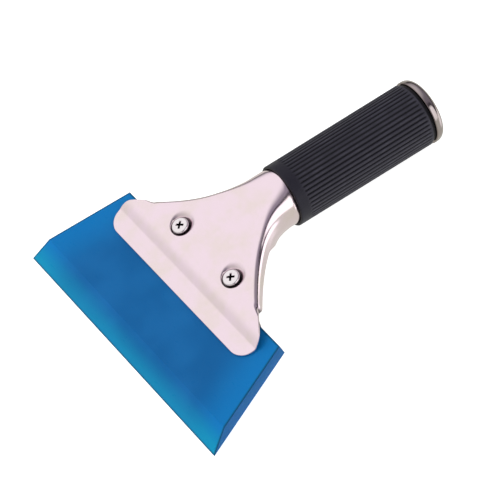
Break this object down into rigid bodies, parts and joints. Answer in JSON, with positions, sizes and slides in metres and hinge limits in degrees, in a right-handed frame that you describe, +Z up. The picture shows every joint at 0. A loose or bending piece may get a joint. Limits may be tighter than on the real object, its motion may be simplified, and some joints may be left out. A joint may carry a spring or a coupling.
{
  "type": "squeegee applicator",
  "caption": "Hand squeegee: a bevelled urethane blade clamped by screws between pressed-steel jaws, on a ribbed rubber-gripped handle.",
  "frame": {"origin": "middle of the footprint, on the surface that the tool lies on", "axes": "+Y from the blade's working edge towards the end cap, +Z up out of the front jaw's side, +X along the blade's edge"},
  "size_m": [0.14, 0.1722, 0.0378],
  "materials": {
    "urethane_blue": "translucent blue urethane, satin",
    "polished_steel": "polished stainless steel",
    "plain_steel": "plain stainless steel",
    "screw_steel": "bright zinc",
    "black_rubber": "matt ribbed rubber"
  },
  "bodies": {
    "handle": {"front_jaw": "polished_steel", "handle_tube": "plain_steel", "grip_sleeve": "black_rubber", "end_cap": "polished_steel"},
    "rear_jaw": {"rear_jaw": "polished_steel", "jaw_nut_left": "plain_steel", "jaw_nut_right": "plain_steel"},
    "screw_left": {"clamp_screw_left": "screw_steel"},
    "screw_right": {"clamp_screw_right": "screw_steel"},
    "blade": {"blade": "urethane_blue"}
  },
  "joints": [
    {"name": "screw_left_turn", "type": "hinge", "parent": "handle", "child": "screw_left", "pos_m": [-0.019, -0.03344, 0.02223], "axis": [0, -0.2052, 0.9787], "range_deg": [0, 720]},
    {"name": "screw_right_turn", "type": "hinge", "parent": "handle", "child": "screw_right", "pos_m": [0.019, -0.03344, 0.02223], "axis": [0, -0.2052, 0.9787], "range_deg": [0, 720]},
    {"name": "jaw_open", "type": "slide", "parent": "handle", "child": "rear_jaw", "axis": [0, 0.2052, -0.9787], "range_m": [0, 0.0014]},
    {"name": "blade_slide", "type": "slide", "parent": "handle", "child": "blade", "axis": [1, 0, 0], "range_m": [-0.05, 0.05]}
  ],
  "couplings": [
    {"joint": "screw_left_turn", "follows": "jaw_open", "rad_per_m": 8975.9},
    {"joint": "screw_right_turn", "follows": "jaw_open", "rad_per_m": 8975.9}
  ]
}
